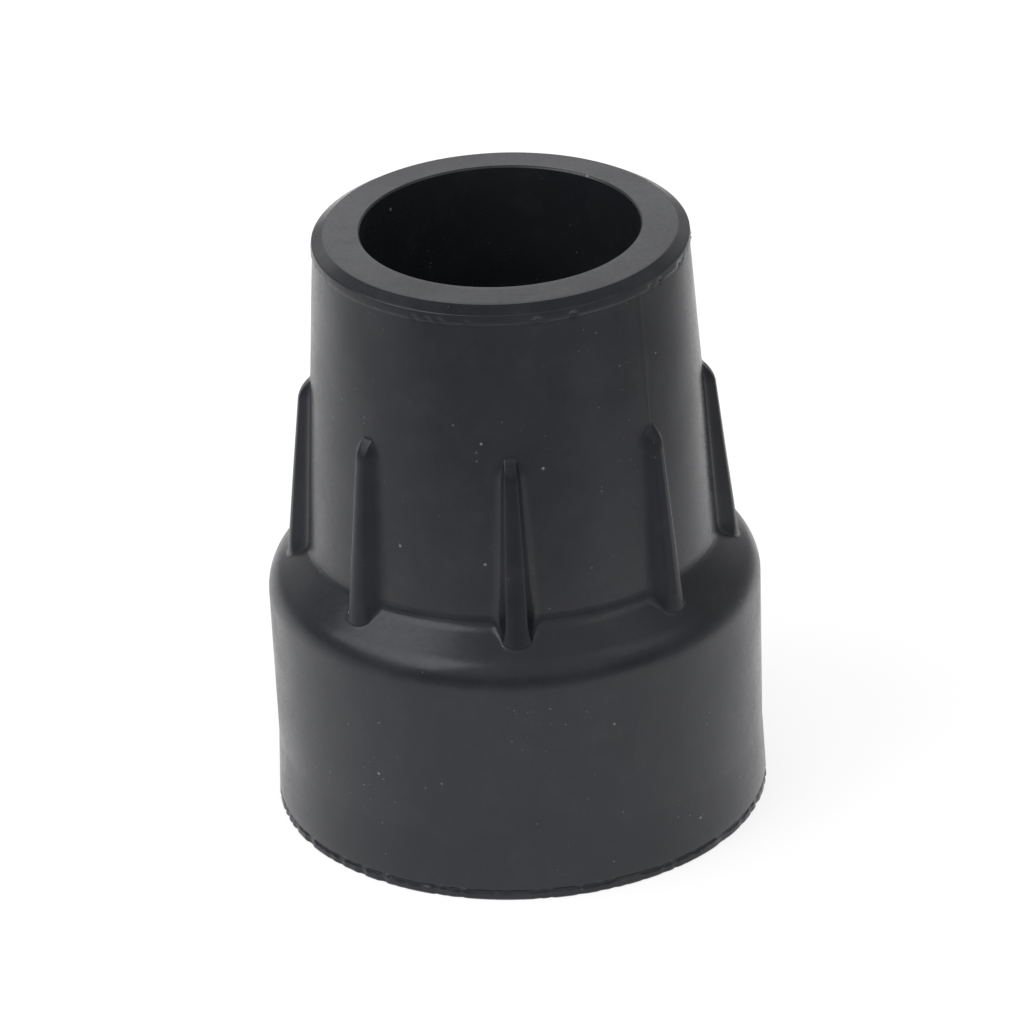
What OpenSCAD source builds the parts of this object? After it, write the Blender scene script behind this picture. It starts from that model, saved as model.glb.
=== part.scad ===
// Push-on rubber ferrule for the lower end of a 22 mm walking pole, moulded in one piece.
// A drafted neck grips the tube, ribs brace it against the shoulder, and the wide base
// stands on the outer rim of a dished tread with concentric grooves.

/* [Overall] */
// Height from the floor to the mouth
height = 48.2; // [44:0.1:56]

/* [Socket] */
// Diameter of the socket that grips the tube
bore_d = 21.4; // [18:0.1:23]
// Depth of the socket below the mouth
bore_depth = 36; // [28:0.5:38]
// Lead-in chamfer at the mouth
bore_chamfer = 0.3; // [0.1:0.1:0.8]
// Radius between the socket's wall and its floor
bore_floor_round = 1; // [0.5:0.1:2]

/* [Lip] */
// Diameter of the lip round the mouth
lip_d = 29; // [27.6:0.1:31]
// Width of the bevel from the lip up to the mouth
bevel_w = 1.05; // [0.5:0.05:1.4]
// Height of the bevel
bevel_h = 0.5; // [0.3:0.05:1.4]
// Radius between the bevel and the band below it
bevel_round = 0.35; // [0.1:0.05:0.5]
// Height of the band
lip_band = 0.9; // [0.2:0.1:1.5]
// Height of the step from the band back to the neck
lip_step = 0.2; // [0.1:0.1:1]

/* [Neck] */
// Diameter of the neck just below the lip
neck_top_d = 28.8; // [26:0.1:29]
// Diameter of the neck where it meets the shoulder
neck_foot_d = 31.8; // [29:0.1:33]
// Radius in the corner between the neck and the shoulder
neck_fillet = 1.5; // [0.2:0.1:2.5]

/* [Base and shoulder] */
// Diameter of the base at its waist
waist_d = 38; // [35:0.1:38.2]
// Height of the waist
waist_h = 5.5; // [3:0.5:9]
// Diameter of the base at the rounded edge round its top
edge_d = 38.3; // [38:0.1:40]
// Height of the middle of the rounded edge
edge_h = 18.1; // [15:0.1:22]
// Radius of the rounded edge
edge_round = 3; // [0.6:0.1:4]
// Slope of the shoulder, in degrees from the horizontal
shoulder_slope = 41; // [35:1:55]

/* [Foot rim] */
// Diameter of the rim at the floor
foot_d = 38.4; // [37.8:0.1:40]
// Height of the rim
foot_h = 0.7; // [0.5:0.1:2]
// Width of the flat ring that stands on the floor
foot_land = 1.2; // [0.6:0.1:2]

/* [Tread] */
// Depth of the dish between the rim and the tread rings
dish_depth = 1.7; // [0.8:0.1:2.5]
// Diameter of the dish's inner edge, where the outer groove starts
dish_d = 28.8; // [27:0.1:31]
// Outer diameter of the raised ring
ring_d = 24.2; // [22:0.1:26]
// Inner diameter of the raised ring
ring_bore_d = 15.7; // [14:0.1:18]
// Diameter of the raised disc in the middle
disc_d = 10.4; // [8:0.1:12]
// Depth of both grooves
groove_depth = 2.2; // [1:0.1:3]
// Draft of the groove walls, in degrees
groove_draft = 9; // [2:1:12]
// Radius on the edges and in the corners of the grooves
tread_round = 0.25; // [0.1:0.05:0.4]

/* [Ribs] */
// Number of ribs round the neck
rib_count = 8; // [4:1:12]
// Height of the top of a rib above the floor
rib_top = 35.9; // [30:0.1:40]
// Width of a rib at its top
rib_top_w = 1.3; // [0.8:0.1:2]
// Width of a rib where it lands on the shoulder
rib_foot_w = 2.5; // [1.8:0.1:3.5]
// How far the top of a rib stands out from the neck
rib_top_proud = 0.85; // [0.3:0.05:1.2]
// How far the foot of a rib stands out from the neck
rib_foot_proud = 1.65; // [1:0.05:2.4]
// Share of a rib's width that is flat, between the two bevels of its crest
rib_flat = 0.45; // [0.2:0.05:0.9]
// Slope of the bevels, in degrees
rib_bevel = 32; // [15:1:50]

/* [Hidden] */
$fn = 96;

rubber = [0.16, 0.165, 0.17];
arc_steps = 8;
fillet_steps = 4;
// Longest share of an edge that a fillet may take at each end
fillet_share = 0.45;

bore_r = bore_d / 2;
floor_z = height - bore_depth;

lip_r = lip_d / 2;
lip_z = height - bevel_h;
band_z = lip_z - lip_band;
neck_top_r = neck_top_d / 2;
neck_top_z = band_z - lip_step;

// Rounded edge: an arc that the wall reaches at a tangent from the waist
waist = [waist_d / 2, waist_h];
edge_centre = [edge_d / 2 - edge_round, edge_h];
wall_normal = bearing(waist - edge_centre) + acos(edge_round / norm(waist - edge_centre));

// The shoulder leaves the edge at a tangent and climbs to the neck
shoulder_normal = 90 - shoulder_slope;
shoulder_start = edge_centre + edge_round * turned(shoulder_normal);
neck_foot_r = neck_foot_d / 2;
neck_foot_z = shoulder_z(neck_foot_r);

foot_r = foot_d / 2;
groove_in = groove_depth * tan(groove_draft);

// Crest of a rib, from where it lands on the shoulder up to its top
rib_foot = [neck_foot_r + rib_foot_proud, shoulder_z(neck_foot_r + rib_foot_proud)];
rib_tip = [neck_r(rib_top) + rib_top_proud, rib_top];
// How far a rib runs on into the shoulder, and how deep it reaches into the neck
rib_root = 1.5;
// Slack of the shapes that only trim a rib
rib_slack = 2;

// Height of the shoulder's surface at a radius
function shoulder_z(r) = shoulder_start[1] + (shoulder_start[0] - r) * tan(shoulder_slope);

// Radius of the neck at a height
function neck_r(z) =
    neck_foot_r + (neck_top_r - neck_foot_r) * (z - neck_foot_z) / (neck_top_z - neck_foot_z);

function unit(v) = v / norm(v);

function bearing(v) = atan2(v[1], v[0]);

// Unit vector at an angle
function turned(angle) = [cos(angle), sin(angle)];

// Points on an arc, with both ends
function arc(centre, radius, from, to, steps = arc_steps) =
    [for (i = [0:steps]) centre + radius * turned(from + (to - from) * i / steps)];

// Smallest turn between two directions
function turn(from, to) = let (d = to - from) d > 180 ? d - 360 : d < -180 ? d + 360 : d;

// The corner b of the path a-b-c, rounded with a radius that its edges have room for
function corner(a, b, c, radius) =
    let (
        u = unit(a - b),
        v = unit(c - b),
        half = acos(u * v) / 2,
        reach = min(radius / tan(half), fillet_share * norm(a - b), fillet_share * norm(c - b)),
        r = reach * tan(half),
        centre = b + unit(u + v) * norm([reach, r]),
        from = bearing(b + u * reach - centre),
        to = bearing(b + v * reach - centre)
    )
    arc(centre, r, from, from + turn(from, to), fillet_steps);

// A path of [radius, height, fillet], with each corner rounded by its own fillet
function rounded(path) =
    let (at = function(i) [path[i][0], path[i][1]])
    [for (i = [0:len(path) - 1])
        each path[i][2] == 0 ? [at(i)] : corner(at(i - 1), at(i), at(i + 1), path[i][2])];

// A groove in the tread between two radii, with drafted walls
function groove(inner_r, outer_r) = [
    [inner_r, dish_depth, tread_round],
    [inner_r + groove_in, dish_depth + groove_depth, tread_round],
    [outer_r - groove_in, dish_depth + groove_depth, tread_round],
    [outer_r, dish_depth, tread_round],
];

// Underside, from the axis out to the rim
function tread() = rounded(concat(
    [[0, dish_depth, 0]],
    groove(disc_d / 2, ring_bore_d / 2),
    groove(ring_d / 2, dish_d / 2),
    [[foot_r - foot_land, 0, 0]],
    [[foot_r, 0, 0]]
));

// Outside wall, from the rim up to the lip's band
function wall() = concat(
    [[foot_r, foot_h], waist],
    arc(edge_centre, edge_round, wall_normal, shoulder_normal),
    corner(shoulder_start, [neck_foot_r, neck_foot_z], [neck_top_r, neck_top_z], neck_fillet),
    [[neck_top_r, neck_top_z], [lip_r, band_z]]
);

// Bevelled mouth, and the socket down to the axis
function mouth() = concat(
    corner([lip_r, band_z], [lip_r, lip_z], [lip_r - bevel_w, height], bevel_round),
    [[lip_r - bevel_w, height], [bore_r + bore_chamfer, height], [bore_r, height - bore_chamfer]],
    arc([bore_r - bore_floor_round, floor_z + bore_floor_round], bore_floor_round, 0, -90),
    [[0, floor_z]]
);

// Body of the ferrule, without its ribs
module body() {
    rotate_extrude() polygon(concat(tread(), wall(), mouth()));
}

// Tapered bar whose outer side is a rib's crest: a flat between two bevels
// Its middle line runs one rib's width inside the crest
module rib_crest() {
    along = unit(rib_tip - rib_foot);
    out = [along[1], -along[0]];
    growth = (rib_foot_w - rib_top_w) / norm(rib_tip - rib_foot);
    low_w = rib_foot_w + growth * rib_root;
    low = rib_foot - along * rib_root - out * low_w;
    tip = rib_tip - out * rib_top_w;
    flat_half = low_w / 2 * rib_flat;
    bevel_in = (low_w - flat_half) * tan(rib_bevel);
    translate([low[0], 0, low[1]])
        rotate([0, atan2(tip[0] - low[0], tip[1] - low[1]), 0])
            linear_extrude(height = norm(tip - low), scale = rib_top_w / low_w)
                polygon([
                    [low_w, -flat_half],
                    [low_w, flat_half],
                    [low_w - bevel_in, low_w],
                    [-low_w, low_w],
                    [-low_w, -low_w],
                    [low_w - bevel_in, -low_w],
                ]);
}

// Front view of a rib: a wedge that narrows towards its top
module rib_wedge() {
    flank = (rib_foot_w - rib_top_w) / 2 / (rib_tip[1] - rib_foot[1]);
    low_half = rib_foot_w / 2 + flank * rib_slack;
    high_half = rib_top_w / 2 - flank * rib_slack;
    low_z = rib_foot[1] - rib_slack;
    high_z = rib_tip[1] + rib_slack;
    rotate([90, 0, 90])
        linear_extrude(height = rib_foot[0] + rib_slack)
            polygon([[-low_half, low_z], [low_half, low_z], [high_half, high_z], [-high_half, high_z]]);
}

// Side view of a rib: its root in the neck, and a top that slopes back to the neck
module rib_side() {
    root_r = neck_r(rib_top) - rib_root;
    far_r = rib_foot[0] + rib_slack;
    tip_r = neck_r(rib_top);
    rotate([90, 0, 0])
        linear_extrude(height = rib_foot_w * 2, center = true)
            polygon([
                [root_r, rib_foot[1] - rib_slack],
                [far_r, rib_foot[1] - rib_slack],
                [far_r, rib_top - (far_r - tip_r)],
                [tip_r, rib_top],
                [root_r, rib_top],
            ]);
}

module rib() {
    intersection() {
        rib_crest();
        rib_wedge();
        rib_side();
    }
}

module ribs() {
    for (i = [0:rib_count - 1])
        rotate([0, 0, -90 + i * 360 / rib_count])
            rib();
}

module ferrule() {
    color(rubber)
        union() {
            body();
            ribs();
        }
}

ferrule();
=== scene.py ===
"""Looks of a push-on rubber ferrule: one moulded piece on a plain white floor.

The piece is one closed grid. Its rows follow the outline of the turned body, from the middle
of the tread round to the floor of the socket, and its columns run round the axis and gather
at the ribs. Lengths are in millimetres for the piece, and in metres for the floor, the lamps
and the camera.
"""

import math

import bpy
import numpy as np
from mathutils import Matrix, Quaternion, Vector


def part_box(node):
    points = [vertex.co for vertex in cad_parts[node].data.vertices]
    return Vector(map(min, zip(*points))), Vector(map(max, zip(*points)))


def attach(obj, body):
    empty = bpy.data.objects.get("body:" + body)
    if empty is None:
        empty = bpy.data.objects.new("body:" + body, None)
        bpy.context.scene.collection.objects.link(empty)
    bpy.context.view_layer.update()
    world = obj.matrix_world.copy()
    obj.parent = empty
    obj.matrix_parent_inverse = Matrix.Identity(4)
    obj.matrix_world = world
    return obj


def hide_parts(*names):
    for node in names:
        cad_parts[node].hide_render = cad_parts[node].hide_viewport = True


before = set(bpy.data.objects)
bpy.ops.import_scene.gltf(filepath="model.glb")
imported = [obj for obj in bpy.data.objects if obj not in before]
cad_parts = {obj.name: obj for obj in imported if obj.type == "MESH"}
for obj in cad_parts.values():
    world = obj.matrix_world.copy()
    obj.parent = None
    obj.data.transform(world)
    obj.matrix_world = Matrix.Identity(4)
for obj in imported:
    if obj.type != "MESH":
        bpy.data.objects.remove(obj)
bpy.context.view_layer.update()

NODE = "ferrule"
PIECE = "rubber_ferrule"
MM = 0.001

# Body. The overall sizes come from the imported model.
low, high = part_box(NODE)
HEIGHT = high.z / MM
FOOT_R = high.x / MM
WAIST_R = 19
WAIST_Z = 5.5
WAIST_ROUND = 4
EDGE_R = 19.15
EDGE_Z = 18.1
EDGE_ROUND = 3
SHOULDER_SLOPE = math.radians(41)
NECK_FOOT_R = 15.9
NECK_TOP_R = 14.4
NECK_FILLET = 1.5

# Round of the sharp edges: the foot's, the crease's and the socket's
SHARP_ROUND = 0.06

# Mouth: a top that falls a little outwards, a bevel down to a band that leans in, and a step
# back to the neck with a line of flash over it. The bevel's height includes the fall.
LIP_R = 14.5
MOUTH_FALL = 0.15
BEVEL_W = 0.95
BEVEL_H = 0.68
BEVEL_ROUND = 0.15
LIP_BAND = 0.72
BAND_FLARE = 0.06
LIP_STEP = 0.05
LEDGE_ROUND = 0.03
FLASH_UP = 0.15
FLASH_H = 0.1

# Socket
BORE_R = 10.7
BORE_DEPTH = 36
BORE_CHAMFER = 0.14
BORE_FLOOR_ROUND = 1

# Foot: a thin lip with a crease above it
LAND_W = 1.2
FOOT_EDGE_W = 0.1
FOOT_EDGE_H = 0.15
FOOT_LIP_H = 0.6
FOOT_LIP_TOP = (FOOT_R - 0.03, FOOT_LIP_H - 0.1)
FOOT_LIP_ROUND = 0.1
CREASE_DEPTH = 0.14
CREASE_H = 0.24
CREASE_ROUND = 0.15

# Tread
DISH_DEPTH = 1.7
DISH_R = 14.4
RING_R = 12.1
RING_BORE_R = 7.85
DISC_R = 5.2
GROOVE_DEPTH = 2.2
GROOVE_IN = GROOVE_DEPTH * math.tan(math.radians(9))
GROOVE_TOP_Z = DISH_DEPTH + GROOVE_DEPTH
TREAD_ROUND = 0.22
GROOVE_ROUND = 0.3

# Ribs. The crest is an arc, CREST_RATIO times as large as half the rib's width.
RIB_COUNT = 8
FIRST_RIB = math.radians(-90)
RIB_TOP_Z = 35.9
RIB_TOP_W = 1.3
RIB_FOOT_W = 2.5
RIB_TOP_PROUD = 0.85
RIB_FOOT_PROUD = 1.65
CREST_RATIO = 1.6
RIB_DRAFT = 0.5
CORNER_ROUND = 0.5
FILLET_ROUND = 0.9
END_ROUND = 0.6
MEETING_ROUND = 0.12
# A rib keeps a side at least this high, sunk in the body where it stands lower
LEAST_WALL = 0.25

# Steps of the grid: of a corner, of the rounded edge, of half a rib's crest, and of a rib's
# corner and fillet
COLUMNS = 400
PER_RIB = COLUMNS // RIB_COUNT
ARC_STEPS = 3
EDGE_STEPS = 9
CREST_STEPS = 5
RIB_STEPS = 4
# Columns from the middle of a rib to the one beside its fillet, and that one's distance
MIDDLE = CREST_STEPS + 2 * (RIB_STEPS + 1)
SUPPORT = 0.25

# Largest gaps between the grid's rows
SOCKET_GAP = 3
TREAD_GAP = 1.6
BAND_GAP = 0.12
MOUTH_GAP = 0.4
RIB_GAP = 0.6
RIB_END_GAP = 0.16
WALL_GAP = 0.9

# Shares of the edge before a corner and of the one after it that its arc may take: on the
# outline, from a rib's crest to its side, and from the side to the neck
OUTLINE_SHARES = (0.45, 0.45)
CORNER_SHARES = (0.9, 0.45)
FILLET_SHARES = (0.5, 0.45)
# How far a rib's fillet looks along the neck
BEYOND = 2.0
# Half of the angle from which a corner counts as straight
STRAIGHT = math.radians(89)

# The columns are even below the low height and above the high one, and gather at the ribs
# within a few millimetres of them
GATHER_LOW = EDGE_Z - 3.5
GATHER_HIGH = RIB_TOP_Z + 5
GATHER_OVER = 4

# Wear and unevenness: how deep or high each kind is
SEED = 27
SWELL = 0.02
RAGGED = 0.25
BITTEN = 0.12
TORN = 0.15
NICKED = 0.25
SEAM = 0.035

# Attribute of the mesh that is 1 on the ribs, and how proud of the body it is full
PROUD = "proud"
PROUD_FULL = 0.4


# Outline ---------------------------------------------------------------------------------


def unit(v):
    return v / np.linalg.norm(v)


def arc(centre, radius, start, end, steps):
    """Points on an arc between two angles in radians, with both ends."""
    angles = np.linspace(start, end, steps + 1)
    return [np.array(centre) + radius * np.array([math.cos(a), math.sin(a)]) for a in angles]


def corner(before, point, after, radius, steps=ARC_STEPS, shares=OUTLINE_SHARES):
    """A path's corner as an arc, no larger than its shares of the two edges."""
    u, v = unit(before - point), unit(after - point)
    half = math.acos(max(-1, min(1, float(u @ v)))) / 2
    if half > STRAIGHT:
        return [point] * (steps + 1)
    edges = np.linalg.norm(before - point), np.linalg.norm(after - point)
    room = min(share * edge for share, edge in zip(shares, edges))
    reach = min(radius / math.tan(half), room)
    radius = reach * math.tan(half)
    centre = point + unit(u + v) * math.hypot(reach, radius)
    first, last = point + u * reach - centre, point + v * reach - centre
    start = math.atan2(first[1], first[0])
    turn = math.atan2(last[1], last[0]) - start
    turn -= 2 * math.pi * round(turn / (2 * math.pi))
    return arc(centre, radius, start, start + turn, steps)


def rounded(path):
    """Points of a path of (r, z, round), where a round of 0 keeps the point."""
    points = [np.array(p[:2], float) for p in path]
    out = []
    for i, (_, _, radius) in enumerate(path):
        if radius:
            out += corner(points[i - 1], points[i], points[i + 1], radius)
        else:
            out.append(points[i])
    return out


def smooth(points):
    """An arc's points as a path that is kept as it is."""
    return [(p[0], p[1], 0) for p in points]


def shoulder_z(r):
    normal = math.pi / 2 - SHOULDER_SLOPE
    start_r = EDGE_R - EDGE_ROUND + EDGE_ROUND * math.cos(normal)
    start_z = EDGE_Z + EDGE_ROUND * math.sin(normal)
    return start_z + (start_r - r) * math.tan(SHOULDER_SLOPE)


NECK_FOOT_Z = shoulder_z(NECK_FOOT_R)
BAND_TOP_Z = HEIGHT - BEVEL_H
BAND_LOW_Z = BAND_TOP_Z - LIP_BAND
NECK_TOP_Z = BAND_LOW_Z - LIP_STEP
FLASH_Z = BAND_LOW_Z + FLASH_UP
# Heights between which the rows are close for the ribs, and between which they need fewer
RIB_ROWS_LOW = NECK_FOOT_Z - 2.4
RIB_ROWS_HIGH = RIB_TOP_Z + 0.6
RIB_EVEN_LOW = NECK_FOOT_Z + 2
RIB_EVEN_HIGH = RIB_TOP_Z - 1.8
# Height above which the rows are close for the lip
LIP_ROWS_Z = NECK_TOP_Z - 1


def neck_r(z):
    return NECK_FOOT_R + (NECK_TOP_R - NECK_FOOT_R) * (z - NECK_FOOT_Z) / (NECK_TOP_Z - NECK_FOOT_Z)


def tread_path():
    """Underside, from the axis out to the land."""
    path = [(0, DISH_DEPTH, 0)]
    for inner, outer in ((DISC_R, RING_BORE_R), (RING_R, DISH_R)):
        path += [
            (inner, DISH_DEPTH, TREAD_ROUND),
            (inner + GROOVE_IN, GROOVE_TOP_Z, GROOVE_ROUND),
            (outer - GROOVE_IN, GROOVE_TOP_Z, GROOVE_ROUND),
            (outer, DISH_DEPTH, TREAD_ROUND),
        ]
    return path + [(FOOT_R - LAND_W, 0, GROOVE_ROUND)]


def foot_path():
    """The lip at the floor, the crease above it and the wall up to the waist."""
    crease_z = FOOT_LIP_H + CREASE_H / 2
    wall_z = FOOT_LIP_H + CREASE_H
    wall_r = FOOT_R + (WAIST_R - FOOT_R) * wall_z / WAIST_Z
    return [
        (FOOT_R - FOOT_EDGE_W, 0, SHARP_ROUND),
        (FOOT_R, FOOT_EDGE_H, SHARP_ROUND),
        (*FOOT_LIP_TOP, FOOT_LIP_ROUND),
        (wall_r - CREASE_DEPTH, crease_z, SHARP_ROUND),
        (wall_r, wall_z + 0.1, CREASE_ROUND),
        (WAIST_R, WAIST_Z, WAIST_ROUND),
    ]


def edge_path():
    """Rounded edge that the wall reaches at a tangent, and the shoulder leaves at one."""
    centre = np.array([EDGE_R - EDGE_ROUND, EDGE_Z])
    to_waist = np.array([WAIST_R, WAIST_Z]) - centre
    start = math.atan2(to_waist[1], to_waist[0]) + math.acos(EDGE_ROUND / np.linalg.norm(to_waist))
    return smooth(arc(centre, EDGE_ROUND, start, math.pi / 2 - SHOULDER_SLOPE, EDGE_STEPS))


def lip_path():
    """Top of the neck, the step out to the band with its line of flash, and the bevel."""
    # Close rows under the step keep its shading off the neck
    support = [(neck_r(z), z, 0) for z in (LIP_ROWS_Z, NECK_TOP_Z - 0.12, NECK_TOP_Z - 0.04)]
    return support + [
        (NECK_TOP_R, NECK_TOP_Z, 0),
        (LIP_R, BAND_LOW_Z, LEDGE_ROUND),
        (LIP_R, FLASH_Z, 0),
        (LIP_R, FLASH_Z + FLASH_H, 0),
        (LIP_R - BAND_FLARE, BAND_TOP_Z, BEVEL_ROUND),
        (LIP_R - BEVEL_W, HEIGHT - MOUTH_FALL, BEVEL_ROUND),
    ]


def socket_path():
    """Chamfer, wall and floor of the socket, in to the axis."""
    floor_z = HEIGHT - BORE_DEPTH
    return [
        (BORE_R + BORE_CHAMFER, HEIGHT, SHARP_ROUND),
        (BORE_R, HEIGHT - BORE_CHAMFER, SHARP_ROUND),
        (BORE_R, floor_z, BORE_FLOOR_ROUND),
        (0, floor_z, 0),
    ]


def row_gap(point):
    """Largest gap between rows at a point of the outline."""
    r, z = point
    if r < BORE_R + 0.05 and z > GROOVE_TOP_Z + 1:
        return SOCKET_GAP
    if z < GROOVE_TOP_Z and r < FOOT_R - LAND_W:
        return TREAD_GAP
    if z > NECK_TOP_Z and r > LIP_R - BEVEL_W + 0.02:
        return BAND_GAP
    if z > LIP_ROWS_Z:
        return MOUTH_GAP
    if RIB_EVEN_LOW < z < RIB_EVEN_HIGH:
        return RIB_GAP
    if RIB_ROWS_LOW < z < RIB_ROWS_HIGH:
        return RIB_END_GAP
    return WALL_GAP


def refined(points):
    """The outline with its long edges divided."""
    out = [points[0]]
    for a, b in zip(points, points[1:]):
        length = np.linalg.norm(b - a)
        if length < 1e-6:
            continue
        gap = min(row_gap(a + (b - a) * t) for t in (0.01, 0.5, 0.99))
        steps = max(1, math.ceil(length / gap))
        out += [a + (b - a) * k / steps for k in range(1, steps + 1)]
    return np.array(out)


def outline():
    """Rows of the grid as (r, z), from the middle of the tread to the socket's floor."""
    neck = [(NECK_FOOT_R, NECK_FOOT_Z, NECK_FILLET)]
    neck += [(neck_r(z), z, 0) for z in (RIB_EVEN_LOW, RIB_EVEN_HIGH, RIB_ROWS_HIGH)]
    path = tread_path() + foot_path() + edge_path() + neck + lip_path() + socket_path()
    return refined(rounded(path))


# Ribs ------------------------------------------------------------------------------------


def soft_max(a, b, k):
    """The larger of two values, with the corner between them rounded over a width of k."""
    d = max(k - abs(a - b), 0)
    return max(a, b) + d * d / (4 * k)


def soft_min(a, b, k):
    return -soft_max(-a, -b, k)


def share_of_rib(z):
    """0 where a rib lands on the shoulder, 1 at its top."""
    foot_z = shoulder_z(NECK_FOOT_R + RIB_FOOT_PROUD)
    return min(max((z - foot_z) / (RIB_TOP_Z - foot_z), 0), 1)


def half_rib(r, z):
    """Half of a rib's section at a row: steps sideways, and how proud of the body they are."""
    share = share_of_rib(z)
    half = (RIB_FOOT_W + (RIB_TOP_W - RIB_FOOT_W) * share) / 2
    foot_r = NECK_FOOT_R + RIB_FOOT_PROUD
    tip_r = neck_r(RIB_TOP_Z) + RIB_TOP_PROUD
    crest = foot_r + (tip_r - foot_r) * share - r
    end = neck_r(RIB_TOP_Z) + RIB_TOP_Z - z - r
    round_r = half * CREST_RATIO
    lean = RIB_DRAFT * max(crest, LEAST_WALL) / 2
    side = [(half - lean) * i / CREST_STEPS for i in range(CREST_STEPS + 1)]
    drop = [round_r - math.sqrt(round_r**2 - t * t) for t in side]
    proud = [soft_min(crest - d, end, END_ROUND) for d in drop]
    sink = max(LEAST_WALL - proud[-1], 0)
    top = [np.array([t, p + sink]) for t, p in zip(side, proud)]
    foot = np.array([side[-1] + RIB_DRAFT * top[-1][1], 0.0])
    beyond = foot + np.array([BEYOND, 0.0])
    section = top[:-1]
    section += corner(top[-2], top[-1], foot, CORNER_ROUND, RIB_STEPS, CORNER_SHARES)
    section += corner(top[-1], foot, beyond, FILLET_ROUND, RIB_STEPS, FILLET_SHARES)
    section.append(section[-1] + np.array([SUPPORT, 0.0]))
    soft = min(MEETING_ROUND, sink)
    if sink:
        return [(t, soft_max(y - sink, 0, soft)) for t, y in section]
    return [tuple(p) for p in section]


def gathering(z):
    """How far the columns gather at the ribs, from 0 to 1."""
    below = (z - GATHER_LOW) / GATHER_OVER
    above = (GATHER_HIGH - z) / GATHER_OVER
    share = min(max(min(below, above), 0), 1)
    return share * share * (3 - 2 * share)


def ring_of_ribs(r, z):
    """Angles and radii of a row on the outside wall."""
    right = []
    for aside, proud in half_rib(r, z):
        out = math.sqrt(r * r - aside * aside) + proud
        right.append((math.atan2(aside, out), math.hypot(aside, out)))
    rib = [(-a, rad) for a, rad in reversed(right[1:])] + right
    pitch = 2 * math.pi / RIB_COUNT
    gaps = PER_RIB - len(rib) + 1
    last = right[-1][0]
    between = [(last + (pitch - 2 * last) * k / gaps, r) for k in range(1, gaps)]
    sector = rib + between
    gathered = gathering(z)
    angles, radii = [], []
    for i in range(RIB_COUNT):
        for k, (a, rad) in enumerate(sector):
            even = (k - MIDDLE) * pitch / PER_RIB
            angles.append(FIRST_RIB + i * pitch + even + (a - even) * gathered)
            radii.append(rad)
    return angles, radii


def even_ring(r):
    """Angles and radii of a plain row, in step with the rows that hold ribs."""
    pitch = 2 * math.pi / COLUMNS
    angles = [FIRST_RIB + (k - MIDDLE) * pitch for k in range(COLUMNS)]
    return angles, [r] * COLUMNS


def grid(rows):
    """Angles, radii and heights of all the points, one row of the array for each row."""
    first = int(np.argmax(rows[:, 0]))
    top = int(np.argmax(rows[:, 1] > NECK_TOP_Z))
    rings = []
    for i, (r, z) in enumerate(rows):
        ribbed = first <= i < top and gathering(z) > 0
        rings.append(ring_of_ribs(r, z) if ribbed else even_ring(r))
    angles = np.array([a for a, _ in rings])
    radii = np.array([r for _, r in rings])
    heights = np.repeat(rows[:, 1:2], COLUMNS, axis=1)
    return angles, radii, heights


# Uneven edges ----------------------------------------------------------------------------


def ripple(angles, rng, slowest, fastest, fall=0.5):
    """Noise round the axis from -1 to 1: a sum of waves, the slow ones larger."""
    total = np.zeros_like(angles)
    for k in range(slowest, fastest + 1):
        total += rng.normal() * np.cos(k * angles + rng.uniform(0, 2 * math.pi)) / k**fall
    return total / np.abs(total).max()


def swell(points, rng, waves=40, longest=14, shortest=4):
    """Slow unevenness of the moulded faces, from -1 to 1."""
    total = np.zeros(points.shape[:-1])
    for _ in range(waves):
        direction = unit(rng.normal(size=3))
        length = rng.uniform(shortest, longest)
        total += np.sin(points @ direction * 2 * math.pi / length + rng.uniform(0, 2 * math.pi))
    return total / np.abs(total).max()


def near(rows, r, z, reach):
    """How near each row is to a line of the outline, from 0 to 1."""
    distance = np.hypot(rows[:, 0] - r, rows[:, 1] - z)
    return np.clip(1 - distance / reach, 0, 1)[:, None]


def outward(rows):
    """Unit normal of the outline at each row."""
    step = np.gradient(rows, axis=0)
    normal = np.stack([step[:, 1], -step[:, 0]], axis=1)
    return normal / np.maximum(np.linalg.norm(normal, axis=1, keepdims=True), 1e-9)


def roughen(rows, angles, radii, heights):
    """Swells the faces inwards, and wears the foot's lip and the edge under the band.

    Each kind of wear is a ripple round the axis, raised and cut off so that it comes in patches.
    """
    rng = np.random.default_rng(SEED)
    place = np.stack([radii * np.cos(angles), radii * np.sin(angles), heights], axis=-1)
    normal = outward(rows)
    wave = SWELL * swell(place, rng)
    wave = wave - wave.max()
    radii = radii + wave * normal[:, 0:1]
    heights = heights + np.maximum(wave * normal[:, 1:2], -heights)
    ragged = np.clip(2.5 * ripple(angles, rng, 20, 130, 0.2) - 0.2, 0, 1)
    radii = radii - RAGGED * ragged * near(rows, FOOT_R, FOOT_LIP_H / 2, 0.55)
    bitten = np.clip(2 * ripple(angles, rng, 12, 160, 0.2), -0.4, 1)
    heights = heights + BITTEN * bitten * near(rows, *FOOT_LIP_TOP, 0.35)
    torn = np.clip(ripple(angles, rng, 10, 160, 0.1) - 0.25, 0, 1)
    radii = radii + TORN * torn * near(rows, LIP_R, FLASH_Z, 0.06)
    nicked = np.clip(2 * ripple(angles, rng, 8, 90, 0.1) - 0.9, 0, 1)
    radii = radii - NICKED * nicked * near(rows, LIP_R, FLASH_Z, 0.35)
    seam = np.zeros(COLUMNS)
    seam[[MIDDLE + PER_RIB, MIDDLE + PER_RIB + COLUMNS // 2]] = SEAM
    on_neck = (rows[:, 1] > NECK_FOOT_Z) & (rows[:, 1] < NECK_TOP_Z) & (rows[:, 0] > BORE_R + 1)
    radii = radii + on_neck[:, None] * seam
    return radii, heights


# Mesh ------------------------------------------------------------------------------------


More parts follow.
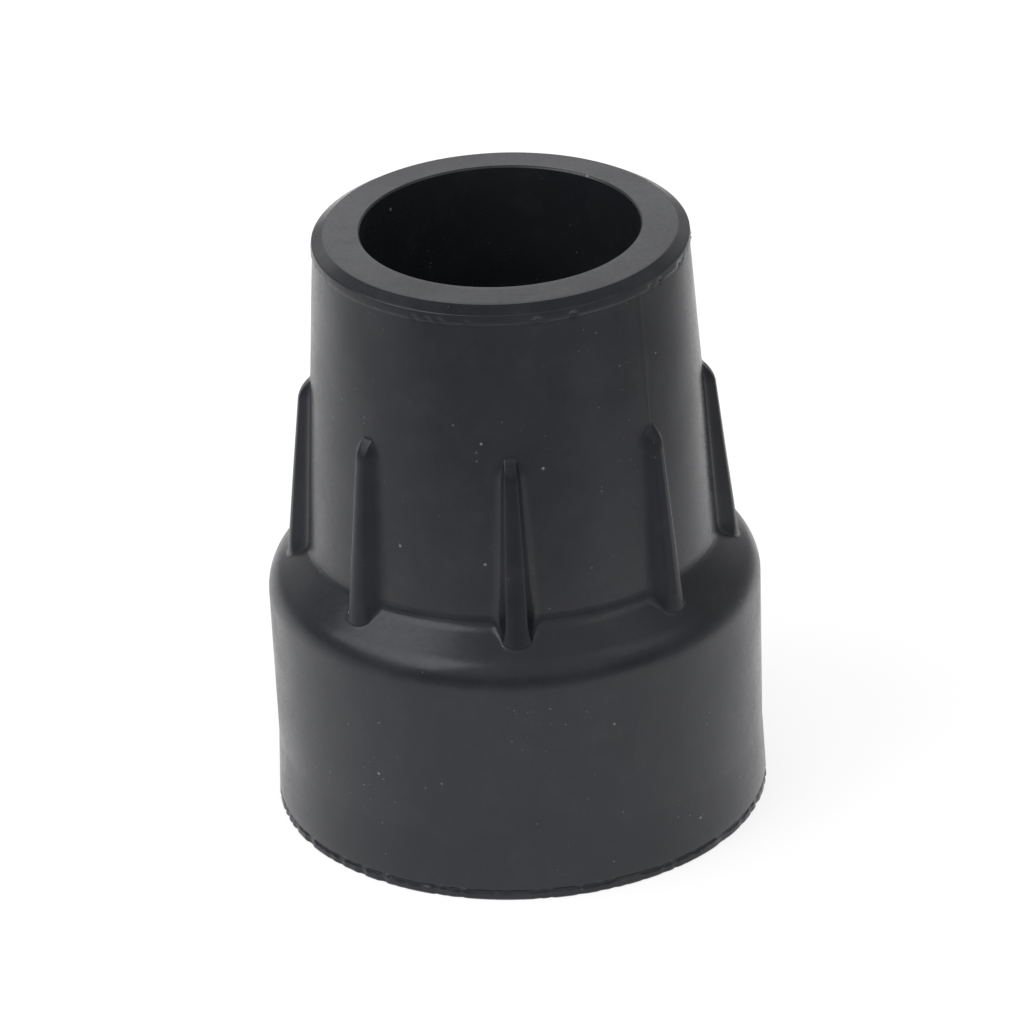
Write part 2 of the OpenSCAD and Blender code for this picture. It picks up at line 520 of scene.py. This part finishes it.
def grid_faces(rings):
    """Faces of a closed grid whose first and last points are on the axis."""
    row = 1 + np.arange(rings)[:, None] * COLUMNS
    here = np.arange(COLUMNS)
    there = (here + 1) % COLUMNS
    quads = np.stack([row[:-1] + there, row[1:] + there, row[1:] + here, row[:-1] + here], axis=-1)
    last = int(row[-1, 0])
    end = last + COLUMNS
    around = list(zip(here.tolist(), there.tolist()))
    fans = [(0, 1 + b, 1 + a) for a, b in around]
    fans += [(end, last + a, last + b) for a, b in around]
    return quads.reshape(-1, 4).tolist() + fans


def ferrule_mesh():
    rows = outline()
    angles, radii, heights = grid(rows)
    proud = np.clip((radii - rows[:, :1]) / PROUD_FULL, 0, 1)
    radii, heights = roughen(rows, angles, radii, heights)
    places = np.stack([radii * np.cos(angles), radii * np.sin(angles), heights], axis=-1) * MM
    points = np.concatenate([places[0:1, 0], places[1:-1].reshape(-1, 3), places[-1:, 0]])
    points[[0, -1], :2] = 0
    mesh = bpy.data.meshes.new(PIECE)
    mesh.from_pydata(points.tolist(), [], grid_faces(len(rows) - 2))
    mesh.update()
    values = np.concatenate([[0], proud[1:-1].ravel(), [0]])
    mesh.attributes.new(PROUD, "FLOAT", "POINT").data.foreach_set("value", values.tolist())
    mesh.polygons.foreach_set("use_smooth", [True] * len(mesh.polygons))
    return mesh


# Materials -------------------------------------------------------------------------------

DARK_RUBBER = (0.0052, 0.0058, 0.0098)
PALE_RUBBER = (0.0105, 0.0113, 0.0165)
# Colour of the socket's wall and floor, paler than the body: painted light in the deep bore
SOCKET_PAINTED_LIGHT = (0.016, 0.017, 0.02)
SHEEN_TINT = (0.95, 0.96, 1.0)
DUST = (0.2, 0.2, 0.19)
# Roughness of the clear skin and of the clouds, how far the grain moves it, and what ribs add
ROUGHNESS = (0.22, 0.34)
GRAIN_ROUGHNESS = (-0.03, 0.03)
RIB_ROUGHNESS = (0, 0.06)
# Specular level of the body and of the ribs
SPECULAR = (0.5, 0.36)
# Share of dust where the film is clear and where it is thickest
FILM = (0, 0.035)
# Heights in millimetres of the skin's unevenness, its grain and the dust
SKIN_BUMP = 0.03
GRAIN_BUMP = 0.003
DUST_BUMP = 0.05

FLOOR_ALBEDO = 0.8
# The floor as it is seen: its own glow, and the share of the light on it that is added
FLOOR_LIFT = 0.76
FLOOR_SHADED = 0.4
# Painted shade on the floor: outside the camera's view it darkens at the front and sides, over
# these distances
FRONT_PAINTED_SHADE = (-0.1, -0.05)
RIGHT_PAINTED_SHADE = (0.11, 0.055)
LEFT_PAINTED_SHADE = (-0.1, -0.05)
TOWARDS_RIGHT_BACK = (0.8, 0.6, 0)
# Levels of the floor's painted shade: at the front and right, and at the left
PAINTED_SHADE_LEVEL = 0.5
PAINTED_SHADE_LEVEL_LEFT = 0.75


def new_material(name):
    material = bpy.data.materials.new(name)
    material.use_nodes = True
    tree = material.node_tree
    tree.nodes.clear()
    return material, tree


def noise(tree, source, scale, detail=2.0, roughness=0.5):
    """Noise whose scale is the number of lumps in one millimetre."""
    node = tree.nodes.new("ShaderNodeTexNoise")
    node.inputs["Scale"].default_value = scale / MM
    node.inputs["Detail"].default_value = detail
    node.inputs["Roughness"].default_value = roughness
    tree.links.new(source, node.inputs["Vector"])
    return node.outputs["Fac"]


def ranged(tree, value, from_range, to_range):
    """A value carried from one range to another, and held at its ends."""
    node = tree.nodes.new("ShaderNodeMapRange")
    node.interpolation_type = "SMOOTHSTEP"
    for name, number in zip(("From Min", "From Max", "To Min", "To Max"), (*from_range, *to_range)):
        node.inputs[name].default_value = number
    tree.links.new(value, node.inputs["Value"])
    return node.outputs["Result"]


def maths(tree, operation, a, b):
    node = tree.nodes.new("ShaderNodeMath")
    node.operation = operation
    for socket, value in zip(node.inputs, (a, b)):
        if isinstance(value, (int, float)):
            socket.default_value = value
        else:
            tree.links.new(value, socket)
    return node.outputs["Value"]


def along(tree, vector, direction):
    """How far a vector reaches along a direction."""
    node = tree.nodes.new("ShaderNodeVectorMath")
    node.operation = "DOT_PRODUCT"
    node.inputs[1].default_value = direction
    tree.links.new(vector, node.inputs[0])
    return node.outputs["Value"]


def blended(tree, share, a, b):
    """Two colours mixed by a share."""
    node = tree.nodes.new("ShaderNodeMix")
    node.data_type = "RGBA"
    tree.links.new(share, node.inputs["Factor"])
    for name, value in (("A", a), ("B", b)):
        socket = next(s for s in node.inputs if s.name == name and s.type == "RGBA")
        if isinstance(value, tuple):
            socket.default_value = (*value, 1)
        else:
            tree.links.new(value, socket)
    return next(s for s in node.outputs if s.type == "RGBA")


def specks(tree, source, scale, size, kept):
    """Round specks, 1 inside and 0 outside. The share that is kept may vary by place."""
    node = tree.nodes.new("ShaderNodeTexVoronoi")
    node.inputs["Scale"].default_value = scale / MM
    tree.links.new(source, node.inputs["Vector"])
    chance = tree.nodes.new("ShaderNodeSeparateColor")
    tree.links.new(node.outputs["Color"], chance.inputs["Color"])
    inside = ranged(tree, node.outputs["Distance"], (size * 0.5, size), (1, 0))
    chosen = maths(tree, "LESS_THAN", chance.outputs["Red"], kept)
    return maths(tree, "MULTIPLY", inside, chosen)


def bumped(tree, height, distance, strength, below=None):
    """Normal of a bump as high as distance in millimetres, over the bump below it."""
    node = tree.nodes.new("ShaderNodeBump")
    node.inputs["Strength"].default_value = strength
    node.inputs["Distance"].default_value = distance * MM
    tree.links.new(height, node.inputs["Height"])
    if below is not None:
        tree.links.new(below, node.inputs["Normal"])
    return node.outputs["Normal"]


def dust_specks(tree, source):
    """Pale dust: large specks here and there, and smaller ones in clusters."""
    large = specks(tree, source, 0.45, 0.07, 0.25)
    cluster = ranged(tree, noise(tree, source, 0.1, 2.0), (0.58, 0.68), (0.04, 0.8))
    small = specks(tree, source, 1.2, 0.13, cluster)
    fine = specks(tree, source, 2.2, 0.15, maths(tree, "MULTIPLY", cluster, 0.4))
    small = maths(tree, "MULTIPLY", maths(tree, "MAXIMUM", small, fine), 0.4)
    return maths(tree, "MAXIMUM", large, small)


def inside_socket(tree, source):
    """1 on the wall and floor of the socket, where a paler colour is painted as light, and 0
    elsewhere.
    """
    place = tree.nodes.new("ShaderNodeSeparateXYZ")
    tree.links.new(source, place.inputs["Vector"])
    x, y, z = (place.outputs[name] for name in "XYZ")
    square = maths(tree, "ADD", maths(tree, "MULTIPLY", x, x), maths(tree, "MULTIPLY", y, y))
    within = maths(tree, "LESS_THAN", square, ((BORE_R + 0.1) * MM) ** 2)
    above = maths(tree, "GREATER_THAN", z, (HEIGHT - BORE_DEPTH - 1) * MM)
    return maths(tree, "MULTIPLY", within, above)


def rubber():
    """Black moulded rubber: a faintly blue skin with dull clouds, duller ribs, a film and dust, and
    painted light in the socket as a paler colour there.
    """
    material, tree = new_material("black_rubber")
    source = tree.nodes.new("ShaderNodeTexCoord").outputs["Object"]
    clouds = noise(tree, source, 0.11, 4.0, 0.6)
    grain = noise(tree, source, 2.6, 3.0, 0.6)
    dust = dust_specks(tree, source)
    proud = tree.nodes.new("ShaderNodeAttribute")
    proud.attribute_name = PROUD
    on_rib = proud.outputs["Fac"]
    colour = blended(tree, ranged(tree, clouds, (0.35, 0.7), (0, 1)), DARK_RUBBER, PALE_RUBBER)
    # Painted light: the socket gets a paler colour than the body
    colour = blended(tree, inside_socket(tree, source), colour, SOCKET_PAINTED_LIGHT)
    film = ranged(tree, noise(tree, source, 0.35, 5.0, 0.65), (0.45, 0.75), FILM)
    colour = blended(tree, maths(tree, "MAXIMUM", dust, film), colour, DUST)
    shader = tree.nodes.new("ShaderNodeBsdfPrincipled")
    shader.inputs["IOR"].default_value = 1.5
    shader.inputs["Specular Tint"].default_value = (*SHEEN_TINT, 1)
    tree.links.new(ranged(tree, on_rib, (0, 1), SPECULAR), shader.inputs["Specular IOR Level"])
    tree.links.new(colour, shader.inputs["Base Color"])
    rough = ranged(tree, clouds, (0.3, 0.7), ROUGHNESS)
    rough = maths(tree, "ADD", rough, ranged(tree, grain, (0.3, 0.7), GRAIN_ROUGHNESS))
    rough = maths(tree, "ADD", rough, ranged(tree, on_rib, (0, 1), RIB_ROUGHNESS))
    tree.links.new(rough, shader.inputs["Roughness"])
    normal = bumped(tree, noise(tree, source, 0.3, 3.0), SKIN_BUMP, 0.5)
    normal = bumped(tree, grain, GRAIN_BUMP, 0.5, normal)
    normal = bumped(tree, dust, DUST_BUMP, 0.6, normal)
    tree.links.new(normal, shader.inputs["Normal"])
    out = tree.nodes.new("ShaderNodeOutputMaterial")
    tree.links.new(shader.outputs["BSDF"], out.inputs["Surface"])
    return material


def seen_rays(tree):
    """1 for the rays that show the background: camera, glossy and transmission rays."""
    path = tree.nodes.new("ShaderNodeLightPath")
    seen = maths(tree, "MAXIMUM", path.outputs["Is Camera Ray"], path.outputs["Is Glossy Ray"])
    return maths(tree, "MAXIMUM", seen, path.outputs["Is Transmission Ray"])


def painted_floor_shade(tree):
    """1 on the floor round the object, falling off to painted shade at the front and sides."""
    source = tree.nodes.new("ShaderNodeTexCoord").outputs["Object"]
    place = tree.nodes.new("ShaderNodeSeparateXYZ")
    tree.links.new(source, place.inputs["Vector"])
    front = ranged(tree, place.outputs["Y"], FRONT_PAINTED_SHADE, (PAINTED_SHADE_LEVEL, 1))
    right = ranged(tree, place.outputs["X"], RIGHT_PAINTED_SHADE, (PAINTED_SHADE_LEVEL, 1))
    left = ranged(tree, along(tree, source, TOWARDS_RIGHT_BACK), LEFT_PAINTED_SHADE, (PAINTED_SHADE_LEVEL_LEFT, 1))
    return maths(tree, "MINIMUM", maths(tree, "MINIMUM", front, right), left)


def white_floor():
    """Matt white floor that reads as white where it is seen, and keeps a soft shadow. For camera
    and glossy rays its glow and colour carry painted shade at the front and sides.
    """
    material, tree = new_material("white_floor")
    floor_shade_share = painted_floor_shade(tree)
    lit = tree.nodes.new("ShaderNodeBsdfDiffuse")
    lit.inputs["Color"].default_value = (FLOOR_ALBEDO, FLOOR_ALBEDO, FLOOR_ALBEDO, 1)
    shaded = tree.nodes.new("ShaderNodeBsdfDiffuse")
    glow = tree.nodes.new("ShaderNodeEmission")
    # Painted shade: the glow and the colour fall off with the floor's painted shade
    tree.links.new(maths(tree, "MULTIPLY", floor_shade_share, FLOOR_LIFT), glow.inputs["Strength"])
    tree.links.new(maths(tree, "MULTIPLY", floor_shade_share, FLOOR_SHADED), shaded.inputs["Color"])
    seen = tree.nodes.new("ShaderNodeAddShader")
    tree.links.new(shaded.outputs["BSDF"], seen.inputs[0])
    tree.links.new(glow.outputs["Emission"], seen.inputs[1])
    mix = tree.nodes.new("ShaderNodeMixShader")
    tree.links.new(seen_rays(tree), mix.inputs["Fac"])
    tree.links.new(lit.outputs["BSDF"], mix.inputs[1])
    tree.links.new(seen.outputs["Shader"], mix.inputs[2])
    out = tree.nodes.new("ShaderNodeOutputMaterial")
    tree.links.new(mix.outputs["Shader"], out.inputs["Surface"])
    return material


# Studio ----------------------------------------------------------------------------------

FLOOR_RADIUS = 3

# Light of the room: bright behind the object, and a paler ceiling over the camera
BRIGHT_SIDE = (-0.1, 0.995, 0)
BRIGHT = 1.8
HORIZON = 0.5
OVERHEAD = 0.5
CEILING = 0.95
# Cosines from the bright side: where its light starts and is full, and where the ceiling's
# light is full and ends
BRIGHT_SPREAD = (0.6, 0.88)
CEILING_SPREAD = (-0.35, -0.05)
# Rise of a direction over which the light of the room takes over from the horizon's
RISE = (0.1, 0.5)

# Softboxes: place, width, height and power
LEFT_SOFTBOX = ((-0.4, -0.155, 0.44), 0.6, 0.38, 1.4)
RIGHT_SOFTBOX = ((0.4, -0.155, 0.44), 0.34, 0.3, 0.12)

# Camera: its distance in front of the object's middle, its height, and its lean to one side
CAMERA_BACK = 0.5187
CAMERA_UP = 0.2922
CAMERA_AIM = 0.49 * HEIGHT * MM
CAMERA_LENS = 265
CAMERA_ROLL = math.radians(2.4)


def add_floor():
    bpy.ops.mesh.primitive_circle_add(vertices=96, radius=FLOOR_RADIUS, fill_type="NGON")
    floor = bpy.context.object
    floor.name = "floor"
    floor.data.materials.append(white_floor())


def add_room_light():
    """World light that depends on the direction only."""
    world = bpy.data.worlds.new("room")
    world.use_nodes = True
    tree = world.node_tree
    tree.nodes.clear()
    direction = tree.nodes.new("ShaderNodeTexCoord").outputs["Generated"]
    facing = along(tree, direction, BRIGHT_SIDE)
    back = ranged(tree, facing, BRIGHT_SPREAD, (OVERHEAD, BRIGHT))
    ceiling = ranged(tree, facing, CEILING_SPREAD, (CEILING, OVERHEAD))
    side = maths(tree, "MAXIMUM", back, ceiling)
    split = tree.nodes.new("ShaderNodeSeparateXYZ")
    tree.links.new(direction, split.inputs["Vector"])
    rise = ranged(tree, split.outputs["Z"], RISE, (0, 1))
    level = tree.nodes.new("ShaderNodeMix")
    level.data_type = "FLOAT"
    tree.links.new(rise, level.inputs[0])
    level.inputs[2].default_value = HORIZON
    tree.links.new(side, level.inputs[3])
    background = tree.nodes.new("ShaderNodeBackground")
    tree.links.new(level.outputs[0], background.inputs["Strength"])
    out = tree.nodes.new("ShaderNodeOutputWorld")
    tree.links.new(background.outputs["Background"], out.inputs["Surface"])
    bpy.context.scene.world = world


def add_lamp(name, place, width, height, power):
    """Rectangular softbox that faces the object's middle."""
    data = bpy.data.lights.new(name, "AREA")
    data.shape = "RECTANGLE"
    data.size = width
    data.size_y = height
    data.energy = power
    lamp = bpy.data.objects.new(name, data)
    bpy.context.scene.collection.objects.link(lamp)
    lamp.location = place
    middle = Vector((0, 0, HEIGHT * MM / 2))
    lamp.rotation_euler = (middle - lamp.location).to_track_quat("-Z", "Y").to_euler()


def add_camera():
    data = bpy.data.cameras.new("camera")
    data.lens = CAMERA_LENS
    camera = bpy.data.objects.new("camera", data)
    bpy.context.scene.collection.objects.link(camera)
    camera.location = (0, -CAMERA_BACK, CAMERA_UP)
    aim = Vector((0, 0, CAMERA_AIM))
    turn = (aim - camera.location).to_track_quat("-Z", "Y")
    camera.rotation_mode = "QUATERNION"
    camera.rotation_quaternion = turn @ Quaternion((0, 0, 1), -CAMERA_ROLL)
    bpy.context.scene.camera = camera


def add_ferrule():
    piece = bpy.data.objects.new(PIECE, ferrule_mesh())
    bpy.context.scene.collection.objects.link(piece)
    piece.data.materials.append(rubber())
    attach(piece, "root")
    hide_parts(NODE)


add_camera()
add_ferrule()
add_floor()
add_room_light()
add_lamp("left_softbox", *LEFT_SOFTBOX)
add_lamp("right_softbox", *RIGHT_SOFTBOX)
bpy.context.scene.view_settings.view_transform = "Standard"
